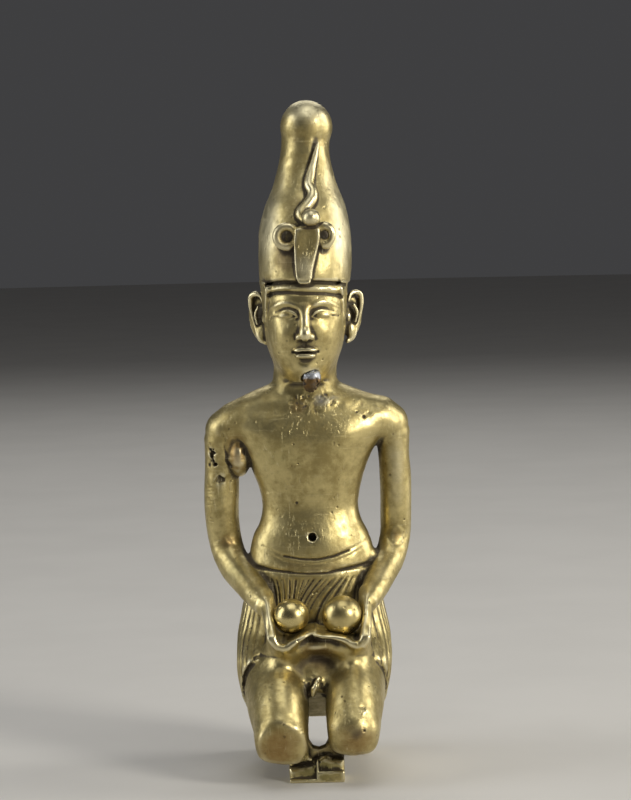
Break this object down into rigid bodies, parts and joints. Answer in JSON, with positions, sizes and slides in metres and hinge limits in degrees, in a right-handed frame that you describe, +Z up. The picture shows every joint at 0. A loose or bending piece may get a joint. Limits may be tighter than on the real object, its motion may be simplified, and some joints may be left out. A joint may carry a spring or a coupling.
{
  "type": "kneeling king statuette",
  "caption": "Small cast kneeling king in a tall crown with a cobra, bare chest and pleated kilt, holding out round pots, on a short tang.",
  "frame": {"origin": "centre of the bounding box on the plane that the tang and the toes stand on", "axes": "+Z up the figure, -Y the way the figure faces, +X the figure's own left"},
  "size_m": [0.0306, 0.0314, 0.098],
  "materials": {
    "gilt_bronze": "worn satin gold-coloured metal with dark brown patina in the hollows",
    "grey_metal": "rough grey metal with brown stains"
  },
  "bodies": {
    "root": {"king_statuette": "gilt_bronze", "nu_pot_right": "gilt_bronze", "nu_pot_left": "gilt_bronze", "beard_stump": "grey_metal"}
  },
  "joints": []
}
